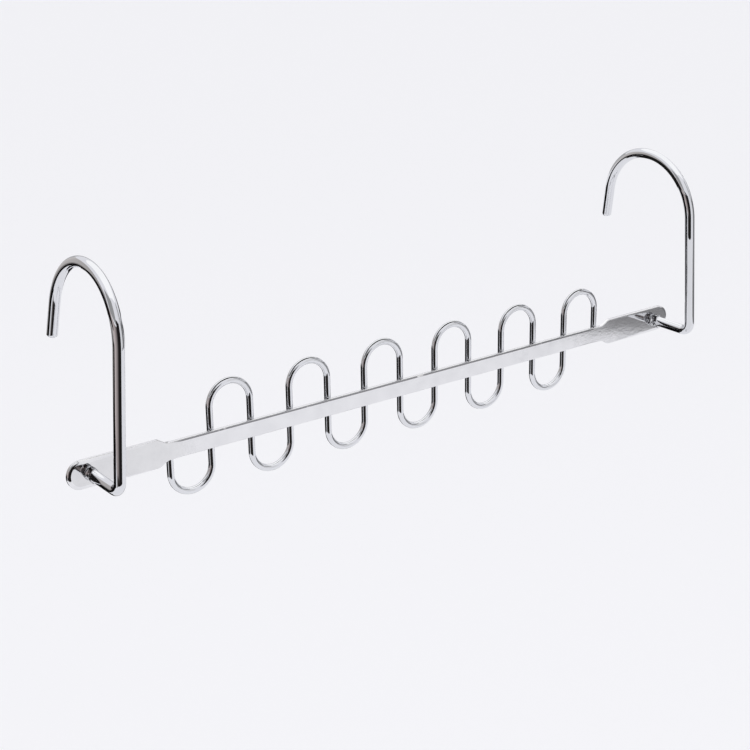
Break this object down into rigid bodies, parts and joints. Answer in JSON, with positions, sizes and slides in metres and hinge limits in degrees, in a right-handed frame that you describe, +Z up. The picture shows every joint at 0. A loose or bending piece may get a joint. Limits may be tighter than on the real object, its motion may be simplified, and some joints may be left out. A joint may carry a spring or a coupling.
{
  "type": "cascading clothes hanger",
  "caption": "Chromed flat bar with wire loops above and below it, hung from a closet rail by a swivelling wire hook at each end, so clothes hang level or cascade when one hook is freed.",
  "frame": {"origin": "midway between the two hooks, on the line where the insides of both crests rest on the rail's top", "axes": "+X along the bar towards the right hook, +Y to the back, where the hooks' free tips hang down, +Z up"},
  "size_m": [0.42, 0.0777, 0.139],
  "materials": {
    "bar_chrome": "polished chrome plate",
    "loop_chrome": "polished chrome plate",
    "hook_chrome": "polished chrome plate",
    "weld_chrome": "chrome plate over a tack weld"
  },
  "bodies": {
    "bar": {"carrier_bar": "bar_chrome", "loop_wire": "loop_chrome", "tack_weld_01": "weld_chrome", "tack_weld_02": "weld_chrome", "tack_weld_03": "weld_chrome", "tack_weld_04": "weld_chrome", "tack_weld_05": "weld_chrome", "tack_weld_06": "weld_chrome", "tack_weld_07": "weld_chrome", "tack_weld_08": "weld_chrome", "tack_weld_09": "weld_chrome", "tack_weld_10": "weld_chrome", "tack_weld_11": "weld_chrome", "tack_weld_12": "weld_chrome", "tack_weld_13": "weld_chrome"},
    "left_hook": {"left_hook": "hook_chrome"},
    "right_hook": {"right_hook": "hook_chrome"}
  },
  "joints": [
    {"name": "left_hook_swivel", "type": "hinge", "parent": "bar", "child": "left_hook", "pos_m": [-0.1975, -0.00205, -0.10396], "axis": [0, 1, 0], "range_deg": [-256, 81]},
    {"name": "right_hook_swivel", "type": "hinge", "parent": "bar", "child": "right_hook", "pos_m": [0.1975, -0.00205, -0.10396], "axis": [0, -1, 0], "range_deg": [-268, 67]}
  ]
}
